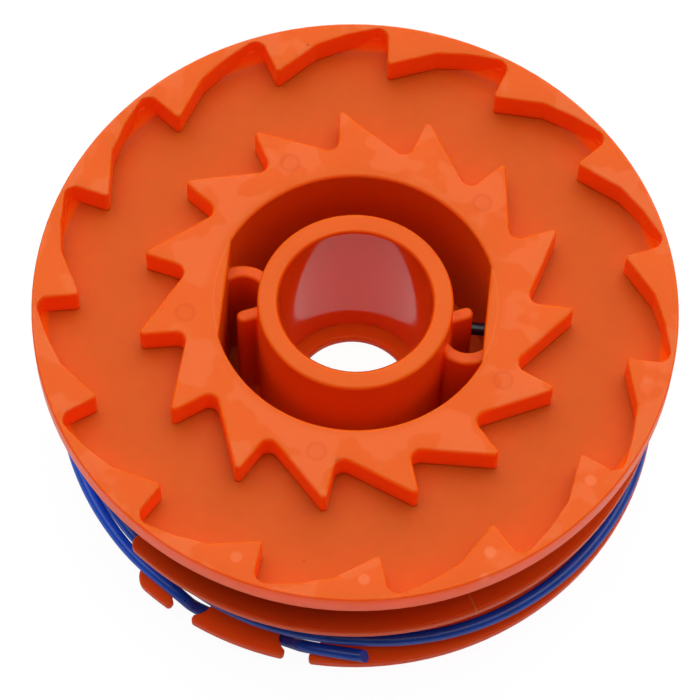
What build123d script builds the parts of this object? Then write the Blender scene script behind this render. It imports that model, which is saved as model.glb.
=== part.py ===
from build123d import *
import os
from math import cos, hypot, radians, sin, tan

# Two-line trimmer spool, in millimetres.
# The origin is on the spool's axis at its underside, and +Z points to the toothed face.

# Line
line_d = 1.6
line_gap = 0.2          # between the wound line and the moulding
line_hole_gap = 0.3     # round the line where it passes through the drum wall

# Heights, from the underside up
boss_drop = 2.2         # foot of the hub below the bottom flange
bottom_flange_t = 1.6
lower_channel_h = 8.6
middle_flange_t = 1.5
upper_channel_h = 7.2
web_t = 1.4             # floor of the toothed dish
dish_depth = 4.1
rim_h = 3.2             # upright side of the top rim
lip_t = 1.5             # lip at the foot of the bore

# Radii, from the bore out
lip_w = 2.1
bore_r = 9.45
bore_chamfer = 0.5
hub_wall = 2.55
foot_w = 1.0            # how far the foot stands out past the hub
well_w = 5.35
well_flat_depth = 1.3   # how far each flat side stands into the well
drum_wall = 1.65
top_flange_r = 39.5
flange_set_in = 1.0     # lower flanges, inside the top rim
rim_bevel = 0.3
rim_slope_w = 2.5       # width of the slope under the top rim

# Ratchet teeth: both rings have their steep faces turned counter-clockwise
tooth_count = 15
inner_first_turn = 4.3
inner_root_w = 3.5      # well wall to the sharp root corner, before its round
inner_tooth_h = 6.35
inner_root_turn = 1.5
inner_gullet_r = 1.2
inner_tip_round = 0.5
outer_first_turn = 16.9
outer_root_w = 0.21     # rim side to the sharp root corner, before its round
outer_tooth_h = 5.65
outer_root_turn = 0.9
outer_swell_h = 4.15    # bend of the long flank near the gullet, out from the tooth tip
outer_swell_turn = 8.6
outer_kink_h = 3.0      # kink of the long flank, out from the tooth tip
outer_kink_turn = 14.6
outer_gullet_r = 1.3
outer_tip_round = 0.45
outer_kink_round = 1.0
dish_round = 1.85       # round at the foot of the rim, met in the gullets

# Line anchors in the well, one set at each flat side
anchor_drop = 3.75      # tops below the toothed face
anchor_t = 1.65
arch_r = 3.7
arch_rise = 4.5         # top of the arch from the centre plane
stub_turn = 23.6
stub_root_y = 1.0
stub_l = 1.75
line_hole_y = 3.45
line_hole_lift = 0.2    # edge of the hole above the flange below
line_end_gap = 0.4      # end of the line from the hub

# Cut-out through the two lower flanges, one on each side
cut_start = -129.8
cut_turn = 40.0
cut_depth = 5.0
cut_round = 1.2
tab_round = 2.2         # corners of the bottom flange beside its cut-outs

# Clip notches in the bottom flange, a pair on each side
clip_turn = -106.35     # middle of the tab between the two notches
clip_half_turn = 11.65
clip_pocket_r = 2.6
clip_pocket_in = 3.0    # pocket centre inside the flange edge
clip_mouth_w = 3.1
clip_round = 0.5

# Wound line
upper_wound_in = 4.8    # wound surface inside the flange edge
lower_wound_in = 3.7
tail_in = 1.4           # loose tail inside the flange edge
clip_in = 1.7           # tail inside the flange edge where it is clipped
dive_turn = 1.9         # half of the turn in which the tail passes a notch
tail_lift = 0.4         # end of the tail, sprung up from the flange
tail_end_in = 0.4       # end of the tail inside the flange edge
tail_end_turn = 24.3    # end of the tail past the middle of its tab
ridge_h = 0.4           # ridge of each wound turn
slack_lift = 2.7        # slack turn of the lower line above its flange
bend_share = 0.45       # share of the shorter run beside a bend that the bend takes up

# Derived heights
bottom_under = boss_drop
bottom_face = bottom_under + bottom_flange_t
middle_under = bottom_face + lower_channel_h
middle_face = middle_under + middle_flange_t
top_under = middle_face + upper_channel_h
dish_floor = top_under + web_t
top_z = dish_floor + dish_depth

# Derived radii
hub_r = bore_r + hub_wall
well_r = hub_r + well_w
well_flat = well_r - well_flat_depth
drum_r = well_r + drum_wall
flange_r = top_flange_r - flange_set_in
inner_root_r = well_r + inner_root_w
inner_tip_r = inner_root_r + inner_tooth_h
outer_root_r = top_flange_r - outer_root_w
outer_tip_r = outer_root_r - outer_tooth_h
outer_kink_r = outer_tip_r + outer_kink_h
outer_swell_r = outer_tip_r + outer_swell_h
line_r = line_d / 2
line_hole_r = line_r + line_hole_gap
line_hole_h = line_hole_r + line_hole_lift


def polar(radius, turn, height=0.0):
    """A point from its radius, its turn about the axis in degrees and its height."""
    return (radius * cos(radians(turn)), radius * sin(radians(turn)), height)


def disc(radius, low, high):
    """A plain cylinder on the axis between two heights."""
    return extrude(Plane.XY.offset(low) * Circle(radius), high - low)


def both_sides(shape):
    """The shape and its copy half a turn round the axis."""
    return shape + Rot(0, 0, 180) * shape


def rounded(sketch, radius, round_r):
    """The outline with its corners that lie at one radius rounded."""
    corners = [v for v in sketch.vertices() if abs(hypot(v.X, v.Y) - radius) < 0.001]
    return fillet(corners, round_r)


def toothed(corners, first_turn):
    """A closed outline that repeats a tooth's (radius, turn) corners round the axis."""
    pitch = 360 / tooth_count
    points = []
    for tooth in range(tooth_count):
        for radius, turn in corners:
            points.append(polar(radius, first_turn + tooth * pitch + turn))
    return make_face(Polyline(*points, close=True))


def inner_ring():
    """Outline of the inner ring, whose teeth point outwards."""
    outline = toothed([(inner_tip_r, 0), (inner_root_r, inner_root_turn)], inner_first_turn)
    outline = rounded(outline, inner_tip_r, inner_tip_round)
    return rounded(outline, inner_root_r, inner_gullet_r)


def outer_ring():
    """Outline inside the rim, whose teeth point inwards and have a kinked long flank."""
    corners = [
        (outer_tip_r, 0),
        (outer_root_r, outer_root_turn),
        (outer_swell_r, outer_swell_turn),
        (outer_kink_r, outer_kink_turn),
    ]
    outline = toothed(corners, outer_first_turn)
    outline = rounded(outline, outer_tip_r, outer_tip_round)
    outline = rounded(outline, outer_kink_r, outer_kink_round)
    outline = rounded(outline, outer_swell_r, outer_kink_round)
    return rounded(outline, outer_root_r, outer_gullet_r)


def top_flange():
    """Top flange with its upright rim and the slope under it, still without the dish."""
    section = make_face(
        Polyline(
            (0, top_under),
            (top_flange_r - rim_slope_w, top_under),
            (top_flange_r, top_z - rim_h),
            (top_flange_r, top_z),
            (0, top_z),
            close=True,
        )
    )
    edge = [v for v in section.vertices() if v.X > hub_r and v.Y > top_z - rim_h / 2]
    return revolve(Plane.XZ * chamfer(edge, rim_bevel), Axis.Z)


def dish():
    """Space between the two tooth rings, with the round at the foot of the rim left in."""
    outline = outer_ring()
    space = extrude(Plane.XY.offset(dish_floor) * (outline - inner_ring()), dish_depth)
    middles = [edge @ 0.5 for edge in outline.edges()]
    foot_r = max(hypot(middle.X, middle.Y) for middle in middles) - dish_round
    corner = Pos(foot_r, dish_floor) * Rectangle(
        top_flange_r - foot_r, dish_round, align=(Align.MIN, Align.MIN)
    )
    corner -= Pos(foot_r, dish_floor + dish_round) * Circle(dish_round)
    return space - revolve(Plane.XZ * corner, Axis.Z)


def cut_flange(low, thickness, corner_r, clips):
    """A lower flange with its two cut-outs and, where asked, its clip notches."""
    outline = Circle(flange_r)
    far = 2 * flange_r
    wedge = make_face(
        Polyline((0, 0), polar(far, cut_start - cut_turn), polar(far, cut_start), close=True)
    )
    cut = wedge - Circle(flange_r - cut_depth)
    cut = fillet([v for v in cut.vertices() if hypot(v.X, v.Y) < flange_r], cut_round)
    outline -= both_sides(cut)
    outline = rounded(outline, flange_r, corner_r)
    if clips:
        pocket = Pos(flange_r - clip_pocket_in, 0) * Circle(clip_pocket_r)
        pocket += Pos(flange_r, 0) * Rectangle(2 * clip_pocket_in, clip_mouth_w)
        for side in (-clip_half_turn, clip_half_turn):
            outline -= both_sides(Rot(0, 0, clip_turn + side) * pocket)
        outline = rounded(outline, flange_r, clip_round)
    return extrude(Plane.XY.offset(low) * outline, thickness)


def anchor():
    """Arch and stub that grip a line's inner end at the +X flat of the well."""
    arch = Circle(arch_r + anchor_t / 2) - Circle(arch_r - anchor_t / 2)
    middle_x = (hub_r + well_flat) / 2
    arch = Pos(middle_x, arch_r - arch_rise) * arch
    arch &= Pos(middle_x, -arch_rise) * Rectangle(well_w, 2 * arch_r)
    stub = Rectangle(2 * stub_l, anchor_t) + Pos(stub_l, 0) * Circle(anchor_t / 2)
    stub = Pos(hub_r, stub_root_y) * Rot(0, 0, stub_turn) * stub
    height = top_z - anchor_drop - bottom_face
    return extrude(Plane.XY.offset(bottom_face) * (arch + stub), height)


def line_hole(height):
    """Hole through the drum wall at the +X flat, where a line passes into the well."""
    hole = Plane.YZ * Pos(line_hole_y, height) * Circle(line_hole_r)
    return Pos(well_flat - well_flat_depth, 0, 0) * extrude(hole, drum_wall + 3 * well_flat_depth)


def spool():
    """The one-piece moulded spool."""
    body = disc(hub_r + foot_w, 0, bottom_face)
    body += disc(drum_r, bottom_under, top_z - rim_h)
    body += cut_flange(bottom_under, bottom_flange_t, tab_round, True)
    body += cut_flange(middle_under, middle_flange_t, cut_round, False)
    body += top_flange()
    body -= dish()
    well = Circle(well_r) & Rectangle(2 * well_flat, 2 * well_r)
    well -= Circle(hub_r)
    body -= extrude(Plane.XY.offset(bottom_face) * well, top_z - bottom_face)
    body += both_sides(anchor())
    body -= line_hole(middle_face + line_hole_h)
    body -= Rot(0, 0, 180) * line_hole(bottom_face + line_hole_h)
    bore = disc(bore_r, lip_t, top_z) + disc(bore_r - lip_w, 0, lip_t)
    mouth = Pos(0, 0, top_z - bore_chamfer / 2)
    bore += mouth * Cone(bore_r, bore_r + bore_chamfer, bore_chamfer)
    return body - bore


def run_length(start, end):
    return (Vector(*end) - Vector(*start)).length


def strand(route):
    """A round line along straight runs joined by tangent arcs, from (radius, turn, height) points."""
    points = [polar(*stop) for stop in route]
    bends = []
    for before, here, after in zip(points, points[1:], points[2:]):
        turn = (Vector(*here) - Vector(*before)).get_angle(Vector(*after) - Vector(*here))
        shorter = min(run_length(before, here), run_length(here, after))
        bends.append(bend_share * shorter / tan(radians(turn / 2)))
    path = FilletPolyline(*points, radius=bends)
    print("strand of", round(path.length), "mm, tightest bend", round(min(bends), 1), "mm")
    return sweep(Plane(path @ 0, z_dir=path % 0) * Circle(line_r), path)


def winding(low, height, outer_r):
    """The wound turns of one line as one ring, with a ridge for each turn of its outer layer."""
    room = height - 2 * line_gap
    turns = int(room / line_d)
    pitch = room / turns
    start = low + line_gap
    outline = [(drum_r + line_gap, start), (outer_r - ridge_h, start)]
    for turn in range(turns):
        foot = start + turn * pitch
        outline.append((outer_r, foot + pitch / 4))
        outline.append((outer_r, foot + 3 * pitch / 4))
        outline.append((outer_r - ridge_h, foot + pitch))
    outline.append((drum_r + line_gap, start + room))
    return revolve(Plane.XZ * make_face(Polyline(*outline, close=True)), Axis.Z)


def inner_end(height, start):
    """The line's inner end, from the winding through the drum wall at +X to a distance from the axis."""
    end = Plane.YZ * Pos(line_hole_y, height) * Circle(line_r)
    return Pos(start, 0, 0) * extrude(end, drum_r + line_d - start)


def clipped(turn):
    """Route of a tail over the bottom flange, under the tab between two notches and back up."""
    clip_r = flange_r - clip_in
    pocket_r = flange_r - clip_pocket_in
    end_r = flange_r - tail_end_in
    over = bottom_face + line_r + line_gap
    under = bottom_under - line_r - line_gap
    notch = clip_half_turn
    return [
        (clip_r, turn - notch - dive_turn, over),
        ((clip_r + pocket_r) / 2, turn - notch + dive_turn, under),
        (pocket_r, turn + notch - dive_turn, under),
        ((clip_r + end_r) / 2, turn + notch + dive_turn, over + tail_lift),
        (end_r, turn + tail_end_turn, over + tail_lift),
    ]


def lower_line():
    """Line of the lower channel: its winding, a slack last turn and the clipped tail."""
    wound_r = flange_r - lower_wound_in
    inside = wound_r - line_d
    on_wound = wound_r + line_r + line_gap
    tail_r = flange_r - tail_in
    slack_z = bottom_face + slack_lift
    over = bottom_face + line_r + line_gap
    slack = [
        (inside, -206, slack_z),
        (on_wound, -190, slack_z),
        (on_wound, -173, slack_z),
        (on_wound, -156, slack_z),
        (on_wound, -139, slack_z),
        (on_wound, -122, slack_z),
        (on_wound + 0.6, -105, slack_z),
        (on_wound + 0.8, -87, slack_z),
        (on_wound + 1.7, -70, slack_z),
        (on_wound + 2.3, -54, slack_z),
        (on_wound + 2.6, -37, slack_z),
        (on_wound + 2.6, -19, slack_z),
        (on_wound + 2.0, -2, slack_z),
        (on_wound + 0.9, 15, slack_z),
        (inside, 31, slack_z),
    ]
    tail = [(inside, 104 - 360, over + line_r), (tail_r - 0.7, 124 - 360, over + line_r)]
    tail += [(tail_r, turn, over) for turn in (-219, -202, -185, -168, -151, -134)]
    line = winding(bottom_face, lower_channel_h, wound_r)
    line += strand(slack)
    line += strand(tail + clipped(clip_turn))
    return line + Rot(0, 0, 180) * inner_end(bottom_face + line_hole_h, well_flat)


def upper_line():
    """Line of the upper channel: its tail drops through a cut-out to the far pair of notches."""
    wound_r = flange_r - upper_wound_in
    inside = wound_r - line_d
    on_wound = wound_r + line_r + line_gap
    tail_r = flange_r - tail_in
    slack_z = top_under - line_r - line_gap
    on_middle = middle_face + line_r + line_gap
    over = bottom_face + line_r + line_gap
    slack = [
        (inside, -152, slack_z),
        (on_wound + 1.1, -139, slack_z),
        (on_wound + 2.6, -126, slack_z),
        (on_wound + 2.9, -113, slack_z),
        (on_wound + 2.1, -100, slack_z),
        (on_wound + 0.7, -87, slack_z),
        (inside, -74, slack_z),
    ]
    tail = [
        (inside, -56, on_middle + line_r),
        (on_wound + 0.9, -40, on_middle + line_r),
        (tail_r - 0.6, -22, on_middle),
        (tail_r, -4, on_middle),
        (tail_r, 15, on_middle),
        (tail_r, 31, (on_middle + over) / 2),
        (tail_r, 46, over),
    ]
    line = winding(middle_face, upper_channel_h, wound_r)
    line += strand(slack)
    line += strand(tail + clipped(clip_turn + 180))
    return line + inner_end(middle_face + line_hole_h, hub_r + line_end_gap)


os.makedirs("parts", exist_ok=True)
export_step(spool(), "parts/spool_body.step")
export_step(lower_line(), "parts/lower_line.step")
export_step(upper_line(), "parts/upper_line.step")
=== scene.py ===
from math import atan2, cos, degrees, hypot, pi, radians, sin

import bmesh
import bpy
from mathutils import Matrix, Vector


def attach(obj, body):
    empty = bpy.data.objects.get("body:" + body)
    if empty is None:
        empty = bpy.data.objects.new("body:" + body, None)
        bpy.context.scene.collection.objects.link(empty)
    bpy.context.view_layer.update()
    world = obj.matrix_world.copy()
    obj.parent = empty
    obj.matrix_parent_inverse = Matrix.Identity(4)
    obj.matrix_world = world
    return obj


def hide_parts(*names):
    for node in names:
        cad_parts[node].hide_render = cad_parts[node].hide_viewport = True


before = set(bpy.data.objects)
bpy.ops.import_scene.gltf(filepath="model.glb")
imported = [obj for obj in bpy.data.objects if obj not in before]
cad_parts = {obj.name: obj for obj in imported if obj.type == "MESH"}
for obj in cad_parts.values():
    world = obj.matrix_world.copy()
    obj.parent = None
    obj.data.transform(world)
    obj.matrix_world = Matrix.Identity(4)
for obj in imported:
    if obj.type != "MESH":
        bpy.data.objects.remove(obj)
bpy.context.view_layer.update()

# Sizes of the spool that the dressing follows, in millimetres
MM = 0.001
line_d = 1.6
line_r = line_d / 2
line_gap = 0.2
top_z = 26.6
dish_floor = 22.5
lip_top = 1.5
bottom_under = 2.2
bottom_face = 3.8
middle_under = 12.4
middle_face = 13.9
top_under = 21.1
bore_r = 9.45
hub_r = 12.0
well_r = 17.35
well_flat = 16.05
drum_r = 19.0
inner_tip_r = 27.2
upper_wound_r = 33.7
lower_wound_r = 34.8
flange_r = 38.5
rim_r = 39.5

# Rounded edges, in millimetres and degrees
edge_round = 0.42
round_from_turn = 55
sharp_from_turn = 50
inner_weight = 1.0
outer_weight = 0.75
least_weight = 0.4

# How the lines lie, in millimetres and degrees
layers = 3
layer_step = 0.87 * line_d
layer_turn = 60
inner_end_y = 3.45
inner_end_lift = 1.3
slack_lift = 2.7
hub_gap = 0.4
tail_r = flange_r - 1.4
clip_r = flange_r - 1.7
pocket_r = flange_r - 3.0
tail_end_r = flange_r - 0.4
clip_turn = -106.35
clip_half_turn = 11.65
dive_turn = 1.9
tail_end_turn = 24.3
tail_lift = 0.4
over = bottom_face + line_r + line_gap
under = bottom_under - line_r - line_gap

# Places of the mould's marks, radii in millimetres and turns in degrees
ejector_r = 20.8
ejector_turn = 46.9
ejector_pitch = 72
sink_r = 36.8
sink_turn = 13.4
sink_pitch = 24
split_turn = -61.5
flash_from_r = 35.0
top_speck = (36.7, 105.3)
dish_speck = (33.3, -94.6)

# Camera fitted to the photograph, in degrees, millimetres and pixels
camera_tilt = 63.772
camera_roll = 1.861
camera_turn = 4.2
camera_back = 432.315
camera_aside = 0.671
camera_drop = 6.075
camera_focal_px = 3544.0
picture_px = 700
sensor_width = 36.0

# Light and floor, in degrees, metres and strengths
light_lean = 20
light_least = 0.05
light_more = 2.05
floor_half = 4.0
floor_strength = 1.06
floor_white_share = 0.9
floor_gloss_share = 0.3

# Colours in linear red, green and blue
orange_deep = (0.87, 0.127, 0.003)
orange_light = (0.9, 0.134, 0.004)
# painted shade: a darker orange for the recessed dish floor
orange_dish_shade = (0.66, 0.101, 0.003)
# painted shade: a darker red for the deep well
red_well_shade = (0.7, 0.06, 0.003)
# painted glow: a redder, brighter red for walls, standing for light carried in the plastic
red_wall_glow = (1.0, 0.12, 0.004)
# painted shade: a deeper red for everything under the top flange's rim
red_under_rim_shade = (1.0, 0.09, 0.004)
# painted glow: a redder red for the bore's wall
red_bore_glow = (1.0, 0.1, 0.004)
# paler mould marks, also used for painted glints and patches of painted reflection
pale_mark_and_glint = (0.98, 0.21, 0.06)
dark_mark = (0.62, 0.05, 0.003)
red_glow = (1.0, 0.04, 0.002)
no_glow = (0.0, 0.0, 0.0)
blue_deep = (0.009, 0.06, 0.43)
blue_light = (0.013, 0.078, 0.53)
blue_shaded = (0.003, 0.006, 0.02)
# painted light: a brighter blue for the line in the open
blue_lit_open = (0.014, 0.13, 0.92)
white = (1.0, 1.0, 1.0, 1.0)
floor_grey = (0.8, 0.8, 0.8, 1.0)


def polar(radius, turn, height=0.0):
    """A point in metres from its radius, its turn in degrees and its height, in millimetres."""
    return Vector((radius * cos(radians(turn)), radius * sin(radians(turn)), height)) * MM


def add(name, data):
    """An object of that name and data, put in the scene."""
    thing = bpy.data.objects.new(name, data)
    bpy.context.scene.collection.objects.link(thing)
    return thing


def plain_mesh(draft):
    """What a draft object shows, as a plain mesh. The draft goes."""
    seen = draft.evaluated_get(bpy.context.evaluated_depsgraph_get())
    mesh = bpy.data.meshes.new_from_object(seen)
    bpy.data.objects.remove(draft)
    return mesh


def place(name, mesh, finish, node):
    """Put a finished mesh in the scene as the dressed form of a node."""
    piece = add(name, mesh)
    mesh.materials.clear()
    mesh.materials.append(finish)
    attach(piece, "root")
    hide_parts(node)
    return piece


# Node wiring

class Wire:
    """A node's output that takes part in sums, each of which adds a Math node."""

    def __init__(self, wiring, socket):
        self.wiring = wiring
        self.socket = socket

    def other(self, key):
        """Another output of the same node."""
        return Wire(self.wiring, self.socket.node.outputs[key])

    def maths(self, kind, *values):
        return self.wiring.node("ShaderNodeMath", {"operation": kind}, dict(enumerate(values)))

    def __add__(self, other):
        return self.maths("ADD", self, other)

    def __radd__(self, other):
        return self.maths("ADD", other, self)

    def __sub__(self, other):
        return self.maths("SUBTRACT", self, other)

    def __rsub__(self, other):
        return self.maths("SUBTRACT", other, self)

    def __mul__(self, other):
        return self.maths("MULTIPLY", self, other)

    def __rmul__(self, other):
        return self.maths("MULTIPLY", other, self)

    def __truediv__(self, other):
        return self.maths("DIVIDE", self, other)

    def __pow__(self, other):
        return self.maths("POWER", self, other)

    def __mod__(self, other):
        return self.maths("FLOORED_MODULO", self, other)

    def abs(self):
        return self.maths("ABSOLUTE", self)

    def rise(self, low, high):
        """0 below low and 1 above high, with a soft step between."""
        settings = {"interpolation_type": "SMOOTHSTEP"}
        return self.wiring.node("ShaderNodeMapRange", settings, {"Value": self, 1: low, 2: high})

    def fall(self, low, high):
        """1 below low and 0 above high."""
        return 1 - self.rise(low, high)


class Wiring:
    """A node tree, all of whose nodes come from one method."""

    def __init__(self, tree):
        self.tree = tree
        tree.nodes.clear()

    def node(self, kind, settings=None, sockets=None, out=0):
        """Add a node: its settings first, then the values or links of its sockets."""
        node = self.tree.nodes.new(kind)
        for key, value in (settings or {}).items():
            setattr(node, key, value)
        for key, value in (sockets or {}).items():
            if isinstance(value, Wire):
                self.tree.links.new(value.socket, node.inputs[key])
            else:
                node.inputs[key].default_value = value
        return Wire(self, node.outputs[out]) if node.outputs else None


class Finish(Wiring):
    """The node tree of a material or of the world."""

    def __init__(self, holder):
        holder.use_nodes = True
        super().__init__(holder.node_tree)
        self.holder = holder

    def places(self):
        """The object's own coordinates, whole and then apart as X, Y and Z in metres."""
        where = self.node("ShaderNodeTexCoord", out=3)
        x = self.node("ShaderNodeSeparateXYZ", {}, {0: where})
        return where, x, x.other(1), x.other(2)

    def mix(self, share, first, second):
        """A colour between two colours."""
        sockets = {0: share}
        for index, colour in ((6, first), (7, second)):
            sockets[index] = colour if isinstance(colour, Wire) else (*colour, 1.0)
        return self.node("ShaderNodeMix", {"data_type": "RGBA"}, sockets, out=2)

    def noise(self, where, scale, detail):
        sockets = {"Vector": where, "Scale": scale, "Detail": detail, "Roughness": 0.5}
        return self.node("ShaderNodeTexNoise", {"noise_dimensions": "3D"}, sockets)

    def shader(self, **sockets):
        """The surface's shader, with its sockets named in words joined by underscores."""
        named = {key.replace("_", " "): value for key, value in sockets.items()}
        surface = self.node("ShaderNodeBsdfPrincipled", {}, named)
        self.node("ShaderNodeOutputMaterial", {}, {"Surface": surface})
        return self.holder


# Finishes

def orange_plastic():
    """Bright orange moulding: glossy faces with slow waves, a duller dish, mould marks, painted
    shade in the hollows, painted glow on the walls and painted highlights on top.
    """
    f = Finish(bpy.data.materials.new("orange_plastic"))
    where, x, y, z = f.places()
    radius = (x * x + y * y) ** 0.5 / MM
    turn = x.maths("ARCTAN2", y, x) * (180 / pi)
    height = z / MM
    arc = radius * (pi / 180)

    def spot(reach, first, pitch=360):
        """Distance in millimetres from the nearest of the places that repeat round the axis."""
        across = ((turn - first + pitch / 2) % pitch - pitch / 2) * arc
        along = radius - reach
        return (across * across + along * along) ** 0.5

    # Zones of the moulding, each with a soft border
    outside = radius.rise(drum_r, drum_r + 0.5)
    on_top = height.rise(top_z - 0.4, top_z - 0.1)
    above_floor = height.rise(dish_floor - 0.4, dish_floor - 0.1)
    in_dish = above_floor * height.fall(dish_floor + 0.1, dish_floor + 0.4) * outside
    in_bore = radius.fall(bore_r + 0.02, bore_r + 0.3) * height.rise(lip_top + 0.1, lip_top + 0.5)
    in_well = radius.rise(hub_r + 0.1, hub_r + 0.4) * radius.fall(well_r + 0.1, well_r + 0.3)
    in_well = in_well * height.fall(16.0, 26.0)
    on_wall = height.rise(dish_floor + 0.1, dish_floor + 0.9) * (1 - on_top) * outside
    on_hub = radius.rise(bore_r + 0.4, bore_r + 0.8) * radius.fall(hub_r, hub_r + 0.3)
    on_hub = on_hub * height.rise(14.0, 22.0) * (1 - on_top)
    on_edge = height.rise(top_z - 0.6, top_z - 0.35) * height.fall(top_z - 0.05, top_z - 0.01)
    on_rim = radius.rise(rim_r - 0.6, rim_r - 0.3) * height.rise(top_under, top_under + 0.2)
    under_rim = height.fall(top_under - 0.3, top_under) * outside
    under_middle = height.fall(middle_face - 3.0, middle_face - 2.0) * radius.rise(30.0, 33.0)
    # front half only, where the painted glints in the dips show
    at_front = (y - 0.5 * x).fall(-0.034, -0.02)

    # Unevenness, from broad to fine
    clouds = f.noise(where, 90, 1)
    swell = f.noise(where, 150, 2)
    waves = f.noise(where, 260, 1)
    blotches = f.noise(where, 520, 1)
    grain = f.noise(where, 2600, 1)

    # Marks of the mould, two specks of dust, and painted highlights: glints in the dips at the
    # front and patches of painted reflection on the top faces
    ejector = spot(ejector_r, ejector_turn, ejector_pitch)
    ejector_edge = ejector.rise(0.8, 1.1) * ejector.fall(1.15, 1.45)
    ejector_mark = (0.35 * ejector.fall(0.9, 1.2) + ejector_edge) * on_top
    # dips of the mould: a real hollow in the bump, with a painted glint in the colour
    sink_and_glint = spot(sink_r, sink_turn, sink_pitch).fall(0.5, 0.9) * on_top * at_front
    flat_arc = (radius - well_r).abs().fall(0.04, 0.14) * on_top
    split = spot(rim_r - 0.1, split_turn).fall(0.2, 0.8) * height.rise(top_z - 2.5, top_z - 0.5)
    flash = ((turn - split_turn) * arc).abs().fall(0.06, 0.16)
    flash = flash * height.rise(middle_under - 0.3, middle_under)
    flash = flash * height.fall(middle_face + 0.1, top_under)
    flash = flash * radius.rise(flash_from_r, flash_from_r + 0.2)
    specks = spot(*top_speck).fall(0.1, 0.25) * on_top + spot(*dish_speck).fall(0.1, 0.25) * in_dish
    # patches of painted reflection on the top faces
    painted_sheen = swell.rise(0.48, 0.53) * on_top * radius.rise(well_r, well_r + 1.5)

    # Colour by zone, with painted shade and painted glow in some zones, then paler and darker by
    # mark and by painted highlight
    colour = f.mix(clouds.rise(0.35, 0.65), orange_deep, orange_light)
    # painted shade on the recessed dish floor, made uneven by blotches
    colour = f.mix(in_dish * (0.75 + 0.25 * blotches), colour, orange_dish_shade)
    # painted shade in the well, stronger towards its bottom
    colour = f.mix(in_well * 0.6, colour, red_well_shade)
    # painted glow on the walls of the dish and on the side of the hub
    colour = f.mix(on_wall + on_hub, colour, red_wall_glow)
    # painted shade under the top flange's rim, in the channels and on the lower flanges
    colour = f.mix(under_rim, colour, red_under_rim_shade)
    # painted glow in the bore
    colour = f.mix(in_bore, colour, red_bore_glow)
    # paler mould marks, with painted glints in the dips and patches of painted reflection on the
    # top faces
    pale_marks_and_glints = 0.35 * painted_sheen + 0.8 * sink_and_glint + 0.35 * flat_arc + 0.8 * split + 0.8 * flash
    colour = f.mix(pale_marks_and_glints, colour, pale_mark_and_glint)
    colour = f.mix(0.22 * ejector_mark + 0.8 * specks, colour, dark_mark)

    # Light carried inside the translucent plastic, too faint to be sampled as a lamp
    glow = 0.14 * on_wall + 0.1 * under_middle + 0.03 * on_rim + 0.08 * on_hub + 0.09 * on_edge
    carried = f.mix(glow, no_glow, red_glow)

    rough = (0.26 + 0.1 * waves + 0.16 * in_dish + 0.04 * grain) * (1 - 0.75 * in_bore)
    tall = 0.25 * waves * (1 - in_bore) + (0.006 + 0.03 * in_dish) * grain
    tall = tall - 0.3 * sink_and_glint - 0.1 * ejector_mark
    normal = f.node("ShaderNodeBump", {}, {"Strength": 0.25, "Distance": 0.2 * MM, "Height": tall})
    plastic = f.shader(
        Base_Color=colour,
        Roughness=rough,
        Normal=normal,
        IOR=1.5,
        Specular_IOR_Level=0.15,
        Coat_Weight=0.8 * in_bore,
        Coat_Roughness=0.1,
        Emission_Color=carried,
        Emission_Strength=1.0,
        Subsurface_Weight=0.6,
        Subsurface_Radius=(1.0, 0.12, 0.03),
        Subsurface_Scale=3.0 * MM,
    )
    plastic.cycles.emission_sampling = "NONE"
    return plastic


def blue_line():
    """Drawn nylon line: glossy, a little cloudy, with painted shade in the well and painted light
    in the open.
    """
    f = Finish(bpy.data.materials.new("blue_line"))
    where, x, y, _ = f.places()
    radius = (x * x + y * y) ** 0.5 / MM
    clouds = f.noise(where, 300, 3)
    grain = f.noise(where, 3000, 2)
    in_well = radius.fall(17.0, 18.5)
    lit_in_open = x.fall(-0.026, -0.015) * y.fall(-0.01, 0.0) * radius.rise(35.6, 36.4)
    colour = f.mix(clouds.rise(0.35, 0.65), blue_deep, blue_light)
    # painted shade on the line's inner end in the well
    colour = f.mix(in_well, colour, blue_shaded)
    # painted light on the line where it lies in the open, outside the flanges' shade
    colour = f.mix(lit_in_open, colour, blue_lit_open)
    rough = 0.24 + 0.1 * grain
    normal = f.node("ShaderNodeBump", {}, {"Strength": 0.1, "Distance": 0.1 * MM, "Height": grain})
    return f.shader(Base_Color=colour, Roughness=rough, Normal=normal, IOR=1.53)


# Moulding

def level(face):
    """Whether a face looks straight up or down."""
    return abs(face.normal.z) > 0.9999


def joined_faces(form):
    """Join the triangles of each level face, cut in four so that no face closes round a hole."""
    flat = radians(0.2)
    cuts = set()
    for across in ((1, 0, 0), (0, 1, 0)):
        parts = set()
        for face in form.faces:
            if level(face):
                parts.update((face, *face.edges, *face.verts))
        got = bmesh.ops.bisect_plane(
            form, geom=list(parts), dist=1e-7, plane_co=(0, 0, 0), plane_no=across
        )
        cuts.update(item for item in got["geom_cut"] if isinstance(item, bmesh.types.BMEdge))
    inside = []
    for edge in form.edges:
        if edge not in cuts and all(level(face) for face in edge.link_faces):
            if edge.calc_face_angle() < flat:
                inside.append(edge)
    bmesh.ops.dissolve_edges(form, edges=inside, use_verts=True)
    rest = [face for face in form.faces if len(face.verts) == 3]
    bmesh.ops.join_triangles(
        form, faces=rest, angle_face_threshold=flat, angle_shape_threshold=radians(180)
    )


def weigh_edges(form):
    """Weigh the outward edges for rounding, less where the rim is thin behind the outer gullets."""
    weight = form.edges.layers.float.new("bevel_weight_edge")
    for edge in form.edges:
        if edge.calc_face_angle_signed() > radians(round_from_turn):
            middle = (edge.verts[0].co + edge.verts[1].co) / (2 * MM)
            reach = middle.xy.length
            most = inner_weight if reach < inner_tip_r + 1 else outer_weight
            room = (rim_r - 0.6 - reach) / 1.2 if middle.z > top_under else most
            edge[weight] = min(most, max(least_weight, room))


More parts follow.
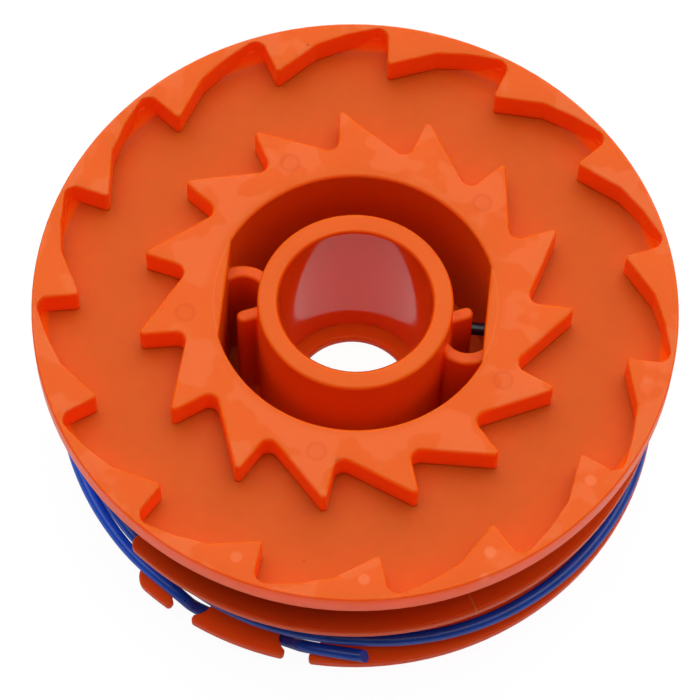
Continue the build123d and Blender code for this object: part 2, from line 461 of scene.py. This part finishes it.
def after(mesh, kind, **settings):
    """A plain mesh with one modifier worked in."""
    draft = add("draft", mesh)
    change = draft.modifiers.new("change", kind)
    for key, value in settings.items():
        setattr(change, key, value)
    return plain_mesh(draft)


def rounded_moulding(finish):
    """The moulding's own shape, its flat faces joined up and its sharp edges rounded."""
    form = bmesh.new()
    form.from_mesh(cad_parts["spool_body"].data)
    bmesh.ops.remove_doubles(form, verts=form.verts, dist=0.001 * MM)
    joined_faces(form)
    weigh_edges(form)
    mesh = bpy.data.meshes.new("moulding_form")
    form.to_mesh(mesh)
    form.free()
    mesh.attributes.remove(mesh.attributes["custom_normal"])
    mesh = after(
        mesh,
        "BEVEL",
        width=edge_round * MM,
        segments=3,
        limit_method="WEIGHT",
        use_clamp_overlap=False,
    )
    mesh.shade_smooth()
    mesh.set_sharp_from_angle(angle=radians(sharp_from_turn))
    mesh = after(mesh, "WEIGHTED_NORMAL", mode="FACE_AREA", weight=50, keep_sharp=True)
    mesh.name = "spool_moulding"
    return place("spool_moulding", mesh, finish, "spool_body")


# Lines

def winding_tree(finish):
    """Geometry nodes for one layer of wound line: a tube along a spiral."""
    tree = bpy.data.node_groups.new("wound_layer", "GeometryNodeTree")
    tree.interface.new_socket("Geometry", in_out="OUTPUT", socket_type="NodeSocketGeometry")
    for name in ("Turns", "Radius", "Height", "Foot", "Line Radius", "Start Turn"):
        tree.interface.new_socket(name, in_out="INPUT", socket_type="NodeSocketFloat")
    g = Wiring(tree)
    sizes = g.node("NodeGroupInput")
    spiral = g.node("GeometryNodeCurveSpiral", {}, {
        "Resolution": 72,
        "Rotations": sizes.other("Turns"),
        "Start Radius": sizes.other("Radius"),
        "End Radius": sizes.other("Radius"),
        "Height": sizes.other("Height"),
    })
    lift = g.node("ShaderNodeCombineXYZ", {}, {"Z": sizes.other("Foot")})
    spin = g.node("ShaderNodeCombineXYZ", {}, {"Z": sizes.other("Start Turn")})
    stance = {"Geometry": spiral, "Translation": lift, "Rotation": spin}
    moved = g.node("GeometryNodeTransform", {}, stance)
    ring = {"Resolution": 14, "Radius": sizes.other("Line Radius")}
    profile = g.node("GeometryNodeCurvePrimitiveCircle", {}, ring)
    swept = {"Curve": moved, "Profile Curve": profile, "Fill Caps": True}
    tube = g.node("GeometryNodeCurveToMesh", {}, swept)
    real = g.node("GeometryNodeRealizeInstances", {}, {0: tube})
    painted = g.node("GeometryNodeSetMaterial", {}, {"Geometry": real, "Material": finish})
    g.node("NodeGroupOutput", {}, {0: painted})
    return tree


def wound_layer(tree, sizes):
    """The plain mesh that the tree gives for one layer's sizes."""
    draft = add("draft", bpy.data.meshes.new("draft"))
    wind = draft.modifiers.new("wind", "NODES")
    wind.node_group = tree
    for item in tree.interface.items_tree:
        if item.in_out == "INPUT":
            wind[item.identifier] = float(sizes[item.name])
    return plain_mesh(draft)


def winding(tree, low, high, outer_r, start_turn):
    """The outer layers of wound line between two flanges, each in the hollows of the next."""
    room = high - low - 2 * line_gap
    turns = int(room / line_d)
    meshes = []
    for layer in range(layers):
        sizes = {
            "Turns": turns,
            "Radius": (outer_r - line_r - layer * layer_step) * MM,
            "Height": (room - line_d) * MM,
            "Foot": (low + line_gap + line_r) * MM,
            "Line Radius": line_r * MM,
            "Start Turn": radians(start_turn + layer_turn * layer),
        }
        meshes.append(wound_layer(tree, sizes))
    return meshes


def loose_line(route, slant=0.0):
    """A round tube along the smooth curve of a route, its last end cut at a slant."""
    curve = bpy.data.curves.new("draft", "CURVE")
    curve.dimensions = "3D"
    curve.bevel_depth = line_r * MM
    curve.bevel_resolution = 5
    curve.resolution_u = 10
    curve.use_fill_caps = True
    spline = curve.splines.new("NURBS")
    spline.points.add(len(route) - 1)
    for point, stop in zip(spline.points, route):
        point.co = (*polar(*stop), 1.0)
    spline.order_u = 3
    spline.use_endpoint_u = True
    mesh = plain_mesh(add("draft", curve))
    end = polar(*route[-1])
    ahead = (end - polar(*route[-2])).normalized()
    for vertex in mesh.vertices:
        out = vertex.co - end
        if out.length < 1.05 * line_r * MM and abs(out.dot(ahead)) < 0.05 * line_r * MM:
            vertex.co -= slant * out.z * ahead
    return mesh


def inner_end(height, start, side):
    """The straight inner end, from the winding through the drum wall towards the hub."""
    route = []
    for reach in (start, (start + drum_r) / 2, drum_r + line_d):
        x = side * reach
        y = side * inner_end_y
        route.append((hypot(x, y), degrees(atan2(y, x)), height))
    return loose_line(route)


def clipped(turn):
    """Route of a tail over the bottom flange, under the tab between two notches and back up."""
    first = turn - clip_half_turn
    second = turn + clip_half_turn
    return [
        (clip_r, first - dive_turn, over),
        ((clip_r + pocket_r) / 2, first + dive_turn, under),
        (pocket_r, second - dive_turn, under),
        ((clip_r + tail_end_r) / 2, second + dive_turn, over + tail_lift),
        (tail_end_r, turn + tail_end_turn, over + tail_lift),
    ]


def joined(meshes):
    """One mesh from several, with smooth faces."""
    form = bmesh.new()
    for mesh in meshes:
        form.from_mesh(mesh)
        bpy.data.meshes.remove(mesh)
    bmesh.ops.recalc_face_normals(form, faces=form.faces)
    whole = bpy.data.meshes.new("line")
    form.to_mesh(whole)
    form.free()
    whole.shade_smooth()
    whole.set_sharp_from_angle(angle=radians(sharp_from_turn))
    return whole


def lower_line(tree, finish):
    """Line of the lower channel: winding, slack last turn, clipped tail and inner end."""
    inside = lower_wound_r - line_d
    on_wound = lower_wound_r + line_r + line_gap
    slack_z = bottom_face + slack_lift
    slack = [
        (inside, -206, slack_z),
        (on_wound, -190, slack_z),
        (on_wound, -173, slack_z),
        (on_wound, -156, slack_z),
        (on_wound, -139, slack_z),
        (on_wound, -122, slack_z),
        (on_wound + 0.6, -105, slack_z),
        (on_wound + 0.8, -87, slack_z),
        (on_wound + 1.7, -70, slack_z),
        (on_wound + 2.3, -54, slack_z),
        (on_wound + 2.6, -37, slack_z),
        (on_wound + 2.6, -19, slack_z),
        (on_wound + 2.0, -2, slack_z),
        (on_wound + 0.9, 15, slack_z),
        (inside, 31, slack_z),
    ]
    tail = [(inside, -256, over + line_r), (tail_r - 0.7, -236, over + line_r)]
    tail += [(tail_r, turn, over) for turn in (-219, -202, -185, -168, -151, -134)]
    meshes = winding(tree, bottom_face, middle_under, lower_wound_r, start_turn=100)
    meshes.append(loose_line(slack))
    meshes.append(loose_line(tail + clipped(clip_turn), slant=0.7))
    meshes.append(inner_end(bottom_face + inner_end_lift, well_flat, side=-1))
    return place("lower_line_wound", joined(meshes), finish, "lower_line")


def upper_line(tree, finish):
    """Line of the upper channel: winding, slack turn under the rim, far tail and inner end."""
    inside = upper_wound_r - line_d
    on_wound = upper_wound_r + line_r + line_gap
    slack_z = top_under - line_r - line_gap
    on_middle = middle_face + line_r + line_gap
    slack = [
        (inside, -152, slack_z),
        (on_wound + 1.1, -139, slack_z),
        (on_wound + 2.6, -126, slack_z),
        (on_wound + 2.9, -113, slack_z),
        (on_wound + 2.1, -100, slack_z),
        (on_wound + 0.7, -87, slack_z),
        (inside, -74, slack_z),
    ]
    tail = [
        (inside, -56, on_middle + line_r),
        (on_wound + 0.9, -40, on_middle + line_r),
        (tail_r - 0.6, -22, on_middle),
        (tail_r, -4, on_middle),
        (tail_r, 15, on_middle),
        (tail_r, 31, (on_middle + over) / 2),
        (tail_r, 46, over),
    ]
    meshes = winding(tree, middle_face, top_under, upper_wound_r, start_turn=-80)
    meshes.append(loose_line(slack))
    meshes.append(loose_line(tail + clipped(clip_turn + 180)))
    meshes.append(inner_end(middle_face + inner_end_lift, hub_r + hub_gap, side=1))
    return place("upper_line_wound", joined(meshes), finish, "upper_line")


# Stage, light and camera

def white_floor():
    """A white floor that keeps a soft shadow, white to the camera and paler in reflections."""
    f = Finish(bpy.data.materials.new("white_floor"))
    camera_ray = f.node("ShaderNodeLightPath", out="Is Camera Ray")
    glossy_ray = camera_ray.other("Is Glossy Ray")
    seen = camera_ray.maths("MAXIMUM", camera_ray, floor_gloss_share * glossy_ray)
    seen = seen.maths("MAXIMUM", seen, camera_ray.other("Is Transmission Ray"))
    matt = f.node("ShaderNodeBsdfDiffuse", {}, {"Color": floor_grey})
    bright = f.node("ShaderNodeEmission", {}, {"Color": white, "Strength": floor_strength})
    blend = f.node("ShaderNodeMixShader", {}, {0: seen * floor_white_share, 1: matt, 2: bright})
    f.node("ShaderNodeOutputMaterial", {}, {"Surface": blend})
    form = bmesh.new()
    bmesh.ops.create_grid(form, x_segments=1, y_segments=1, size=floor_half)
    mesh = bpy.data.meshes.new("floor")
    form.to_mesh(mesh)
    form.free()
    mesh.materials.append(f.holder)
    floor = add("floor", mesh)


def studio_world():
    """A broad soft light overhead, leaning to the back, and plain white to the camera."""
    f = Finish(bpy.data.worlds.new("studio"))
    where = f.node("ShaderNodeTexCoord", out=0)
    lean = radians(light_lean)
    aim = (0.0, sin(lean), cos(lean))
    facing = f.node("ShaderNodeVectorMath", {"operation": "DOT_PRODUCT"}, {0: where, 1: aim}, out=1)
    dome = light_least + light_more * facing.rise(0.55, 0.9)
    seen = f.node("ShaderNodeLightPath", out="Is Camera Ray")
    strength = dome * (1 - seen) + seen
    sky = f.node("ShaderNodeBackground", {}, {"Color": white, "Strength": strength})
    f.node("ShaderNodeOutputWorld", {}, {"Surface": sky})
    bpy.context.scene.world = f.holder


def photo_camera():
    """The photograph's camera, from its distance, tilt and roll about the toothed face's centre."""
    tilt = radians(camera_tilt)
    roll = radians(camera_roll)
    ahead = Vector((0, cos(tilt), -sin(tilt)))
    level_x = Vector((1, 0, 0))
    upright = level_x.cross(ahead)
    right = cos(roll) * level_x + sin(roll) * upright
    up = cos(roll) * upright - sin(roll) * level_x
    stand = Matrix((right, up, -ahead)).transposed().to_4x4()
    stand.translation = (-camera_back * ahead - camera_aside * right - camera_drop * up) * MM
    camera = bpy.data.cameras.new("photo_camera")
    camera.sensor_width = sensor_width
    camera.lens = camera_focal_px / picture_px * sensor_width
    camera.clip_start = 0.01
    holder = add("photo_camera", camera)
    face_centre = Matrix.Translation((0, 0, top_z * MM))
    holder.matrix_world = face_centre @ Matrix.Rotation(radians(camera_turn), 4, "Z") @ stand
    bpy.context.scene.camera = holder


orange = orange_plastic()
blue = blue_line()
layer_tree = winding_tree(blue)
rounded_moulding(orange)
lower_line(layer_tree, blue)
upper_line(layer_tree, blue)
white_floor()
studio_world()
photo_camera()
bpy.context.scene.view_settings.view_transform = "Standard"
